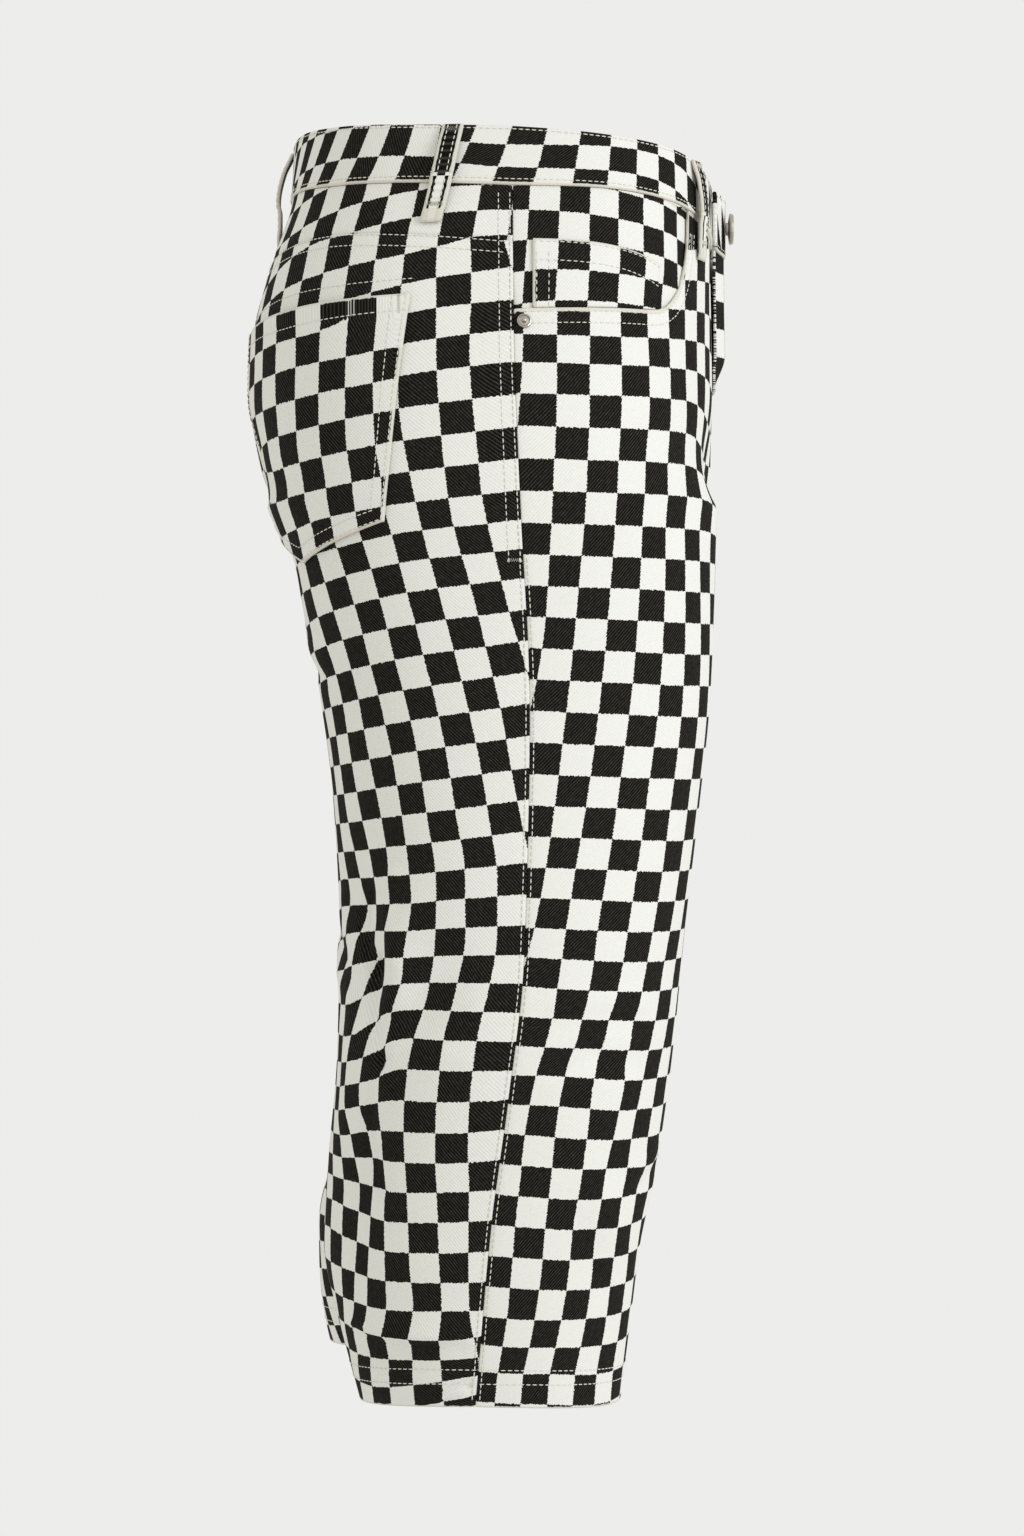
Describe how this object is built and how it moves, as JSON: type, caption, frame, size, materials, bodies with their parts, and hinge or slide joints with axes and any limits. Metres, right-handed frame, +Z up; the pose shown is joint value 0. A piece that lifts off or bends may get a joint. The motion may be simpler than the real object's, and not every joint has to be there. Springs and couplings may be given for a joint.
{
  "type": "barrel jeans",
  "caption": "Hollow worn barrel jeans with a cropped curved leg, waistband with belt loops, scoop front pockets, yoke and patch back pockets.",
  "frame": {"origin": "middle of the waist's top edge at the side seams' height, where the wearer holds the garment up", "axes": "+Z up, the garment's front faces -Y, the wearer's right is -X"},
  "size_m": [0.4238, 0.2595, 0.6553],
  "materials": {
    "check_denim": "matt cotton twill, off-white and near-black checkerboard of 16 mm",
    "band_cloth": "the same cloth, doubled and interlined",
    "metal_trim": "satin nickel plate"
  },
  "bodies": {
    "root": {"front_right": "check_denim", "back_right": "check_denim", "yoke_right": "check_denim", "pocket_facing_right": "check_denim", "back_pocket_right": "check_denim", "hem_right": "check_denim", "rivet_right": "metal_trim", "belt_loop_back_right": "check_denim", "belt_loop_front_right": "check_denim", "front_left": "check_denim", "back_left": "check_denim", "yoke_left": "check_denim", "pocket_facing_left": "check_denim", "back_pocket_left": "check_denim", "hem_left": "check_denim", "rivet_left": "metal_trim", "belt_loop_back_left": "check_denim", "belt_loop_front_left": "check_denim", "coin_pocket": "check_denim", "waistband": "band_cloth", "fly_overlap": "check_denim", "belt_loop_centre_back": "check_denim", "waist_button": "metal_trim"}
  },
  "joints": []
}
